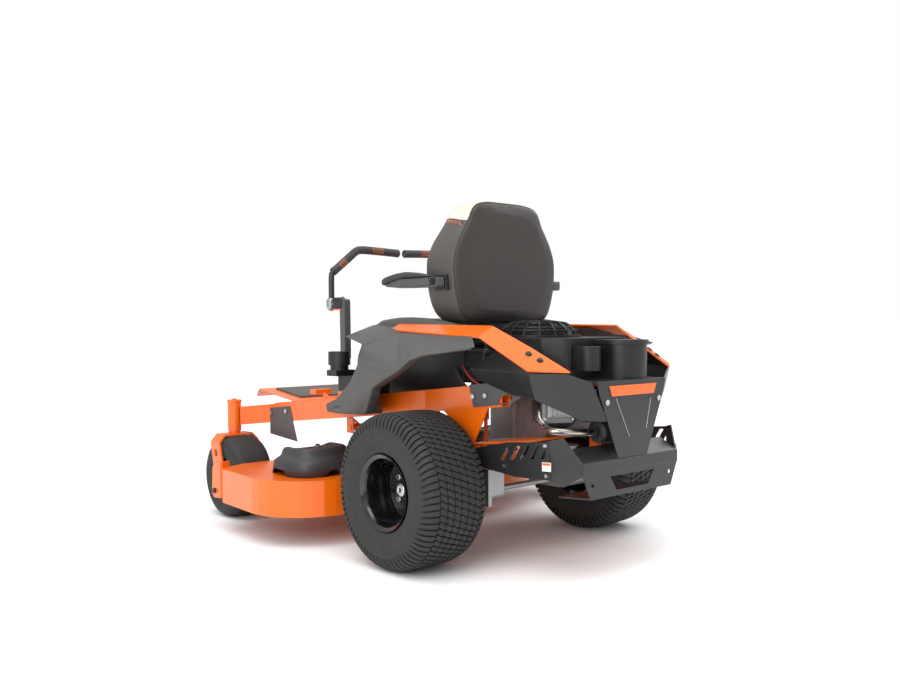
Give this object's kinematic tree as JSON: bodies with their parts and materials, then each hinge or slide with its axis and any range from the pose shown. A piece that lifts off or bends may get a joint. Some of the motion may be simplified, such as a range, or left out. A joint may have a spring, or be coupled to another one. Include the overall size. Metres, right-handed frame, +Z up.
{
  "type": "zero turn mower",
  "caption": "Ride-on zero turn mower with rear drive wheels, front casters, a three-blade side-discharge deck, lap bar levers and a rear vertical-shaft engine.",
  "frame": {"origin": "centre of the base of the machine's bounding box, on the ground", "axes": "+X to the operator's left, +Y to the rear of the machine, +Z up"},
  "size_m": [1.6405, 2.0103, 1.223],
  "materials": {
    "orange_paint": "gloss powder coat",
    "black_paint": "satin powder coat",
    "grey_paint": "satin powder coat",
    "rim_black": "gloss black enamel",
    "tyre_rubber": "moulded rubber",
    "grey_plastic": "grained moulding",
    "black_plastic": "fine grained moulding",
    "cast_aluminium": "as cast",
    "bright_steel": "zinc plated",
    "blade_steel": "painted and ground",
    "grip_rubber": "soft moulded",
    "seat_vinyl": "grained vinyl",
    "switch_yellow": "moulded"
  },
  "bodies": {
    "chassis": {"air_cleaner": "black_plastic", "badge_plate": "orange_paint", "blower_housing": "black_plastic", "bracket_plates": "grey_paint", "bumper": "black_paint", "cross_members": "orange_paint", "engine_block": "cast_aluminium", "exhaust": "bright_steel", "fan_guard": "black_plastic", "fender_left": "grey_plastic", "fender_right": "grey_plastic", "foot_pad": "grip_rubber", "foot_platform": "orange_paint", "frame_bolts": "bright_steel", "frame_rails": "orange_paint", "fuel_tanks": "black_plastic", "hood_straps": "orange_paint", "rear_panel": "black_paint", "rear_shrouds": "black_paint", "seat_deck": "black_paint", "side_guards": "black_paint", "transaxles": "cast_aluminium", "valve_covers": "cast_aluminium"},
    "crankshaft": {"crank_fan": "black_plastic"},
    "drive_wheel_left": {"drive_tyre_left": "tyre_rubber", "drive_rim_left": "rim_black"},
    "drive_wheel_right": {"drive_tyre_right": "tyre_rubber", "drive_rim_right": "rim_black"},
    "caster_fork_left": {"caster_fork_left": "orange_paint"},
    "caster_fork_right": {"caster_fork_right": "orange_paint"},
    "caster_wheel_left": {"caster_tyre_left": "tyre_rubber", "caster_rim_left": "rim_black"},
    "caster_wheel_right": {"caster_tyre_right": "tyre_rubber", "caster_rim_right": "rim_black"},
    "deck": {"deck_shell": "orange_paint", "spindle_housings": "orange_paint", "belt_covers": "grey_plastic", "chute_hinge": "black_paint"},
    "blade_left": {"blade_left": "blade_steel"},
    "blade_centre": {"blade_centre": "blade_steel"},
    "blade_right": {"blade_right": "blade_steel"},
    "anti_scalp_left": {"anti_scalp_left": "black_plastic"},
    "anti_scalp_right": {"anti_scalp_right": "black_plastic"},
    "discharge_chute": {"discharge_chute": "black_plastic"},
    "lift_pedal": {"lift_shaft": "orange_paint"},
    "seat": {"seat_frame": "black_paint", "seat_cushion": "seat_vinyl", "seat_back": "seat_vinyl"},
    "armrest_left": {"armrest_left": "grey_plastic"},
    "armrest_right": {"armrest_right": "grey_plastic"},
    "lever_post_left": {"lever_post_left": "black_paint"},
    "lever_post_right": {"lever_post_right": "black_paint"},
    "lever_left": {"lever_tube_left": "grip_rubber"},
    "lever_right": {"lever_tube_right": "grip_rubber"},
    "fuel_cap_left": {"fuel_cap_left": "black_plastic"},
    "fuel_cap_right": {"fuel_cap_right": "black_plastic"},
    "throttle_lever": {"throttle_lever": "black_plastic"},
    "blade_switch": {"blade_switch": "switch_yellow"},
    "ignition_key": {"ignition_key": "bright_steel"}
  },
  "joints": [
    {"name": "drive_wheel_left_spin", "type": "hinge", "parent": "chassis", "child": "drive_wheel_left", "pos_m": [0.58725, 0.4575, 0.254], "axis": [1, 0, 0], "continuous": true},
    {"name": "caster_left_swivel", "type": "hinge", "parent": "chassis", "child": "caster_fork_left", "pos_m": [0.60525, -0.7015, 0.4], "axis": [0, 0, 1], "continuous": true},
    {"name": "caster_wheel_left_spin", "type": "hinge", "parent": "caster_fork_left", "child": "caster_wheel_left", "pos_m": [0.60525, -0.6715, 0.165], "axis": [1, 0, 0], "continuous": true},
    {"name": "drive_wheel_right_spin", "type": "hinge", "parent": "chassis", "child": "drive_wheel_right", "pos_m": [-0.32675, 0.4575, 0.254], "axis": [1, 0, 0], "continuous": true},
    {"name": "caster_right_swivel", "type": "hinge", "parent": "chassis", "child": "caster_fork_right", "pos_m": [-0.34475, -0.7015, 0.4], "axis": [0, 0, 1], "continuous": true},
    {"name": "caster_wheel_right_spin", "type": "hinge", "parent": "caster_fork_right", "child": "caster_wheel_right", "pos_m": [-0.34475, -0.6715, 0.165], "axis": [1, 0, 0], "continuous": true},
    {"name": "deck_lift", "type": "slide", "parent": "chassis", "child": "deck", "axis": [0, 0, 1], "range_m": [-0.076, 0]},
    {"name": "blade_centre_spin", "type": "hinge", "parent": "deck", "child": "blade_centre", "pos_m": [0.15025, -0.3375, 0.126], "axis": [0, 0, 1], "continuous": true},
    {"name": "blade_left_spin", "type": "hinge", "parent": "deck", "child": "blade_left", "pos_m": [0.58025, -0.1625, 0.126], "axis": [0, 0, 1], "continuous": true},
    {"name": "blade_right_spin", "type": "hinge", "parent": "deck", "child": "blade_right", "pos_m": [-0.27975, -0.1625, 0.126], "axis": [0, 0, 1], "continuous": true},
    {"name": "chute_swing", "type": "hinge", "parent": "deck", "child": "discharge_chute", "pos_m": [-0.52775, -0.1525, 0.245], "axis": [0, 1, 0], "range_deg": [0, 80]},
    {"name": "anti_scalp_left_spin", "type": "hinge", "parent": "deck", "child": "anti_scalp_left", "pos_m": [0.77125, -0.5065, 0.146], "axis": [1, 0, 0], "continuous": true},
    {"name": "anti_scalp_right_spin", "type": "hinge", "parent": "deck", "child": "anti_scalp_right", "pos_m": [-0.47075, -0.5065, 0.146], "axis": [1, 0, 0], "continuous": true},
    {"name": "lift_pedal_press", "type": "hinge", "parent": "chassis", "child": "lift_pedal", "pos_m": [0.13025, -0.0425, 0.404], "axis": [1, 0, 0], "range_deg": [-38.1, 0]},
    {"name": "crank_spin", "type": "hinge", "parent": "chassis", "child": "crankshaft", "pos_m": [0.13025, 0.5975, 0.4], "axis": [0, 0, 1], "continuous": true},
    {"name": "seat_tilt", "type": "hinge", "parent": "chassis", "child": "seat", "pos_m": [0.13025, -0.0425, 0.712], "axis": [1, 0, 0], "range_deg": [0, 55]},
    {"name": "armrest_left_fold", "type": "hinge", "parent": "seat", "child": "armrest_left", "pos_m": [0.40025, 0.3895, 0.934], "axis": [1, 0, 0], "range_deg": [-95, 0]},
    {"name": "lever_left_drive", "type": "hinge", "parent": "chassis", "child": "lever_post_left", "pos_m": [0.46825, -0.0945, 0.6], "axis": [1, 0, 0], "range_deg": [-12, 12]},
    {"name": "lever_left_swing", "type": "hinge", "parent": "lever_post_left", "child": "lever_left", "pos_m": [0.46825, -0.1425, 0.868], "axis": [0, 1, 0], "range_deg": [0, 28]},
    {"name": "fuel_cap_left_turn", "type": "hinge", "parent": "chassis", "child": "fuel_cap_left", "pos_m": [0.52825, -0.0345, 0.66], "axis": [0, 0, 1], "range_deg": [0, 120]},
    {"name": "armrest_right_fold", "type": "hinge", "parent": "seat", "child": "armrest_right", "pos_m": [-0.13975, 0.3895, 0.934], "axis": [1, 0, 0], "range_deg": [-95, 0]},
    {"name": "lever_right_drive", "type": "hinge", "parent": "chassis", "child": "lever_post_right", "pos_m": [-0.20775, -0.0945, 0.6], "axis": [1, 0, 0], "range_deg": [-12, 12]},
    {"name": "lever_right_swing", "type": "hinge", "parent": "lever_post_right", "child": "lever_right", "pos_m": [-0.20775, -0.1425, 0.868], "axis": [0, -1, 0], "range_deg": [0, 28]},
    {"name": "fuel_cap_right_turn", "type": "hinge", "parent": "chassis", "child": "fuel_cap_right", "pos_m": [-0.26775, -0.0345, 0.66], "axis": [0, 0, 1], "range_deg": [0, 120]},
    {"name": "throttle_move", "type": "hinge", "parent": "chassis", "child": "throttle_lever", "pos_m": [-0.14175, 0.1675, 0.756], "axis": [1, 0, 0], "range_deg": [-24, 24]},
    {"name": "blade_switch_pull", "type": "slide", "parent": "chassis", "child": "blade_switch", "axis": [0, 0, 1], "range_m": [0, 0.008]},
    {"name": "key_turn", "type": "hinge", "parent": "chassis", "child": "ignition_key", "pos_m": [-0.14175, 0.3475, 0.8], "axis": [0, 0, 1], "range_deg": [0, 80]}
  ],
  "couplings": [
    {"joint": "blade_left_spin", "follows": "blade_centre_spin", "ratio": 1},
    {"joint": "blade_right_spin", "follows": "blade_centre_spin", "ratio": 1},
    {"joint": "lift_pedal_press", "follows": "deck_lift", "rad_per_m": 8.7266}
  ]
}
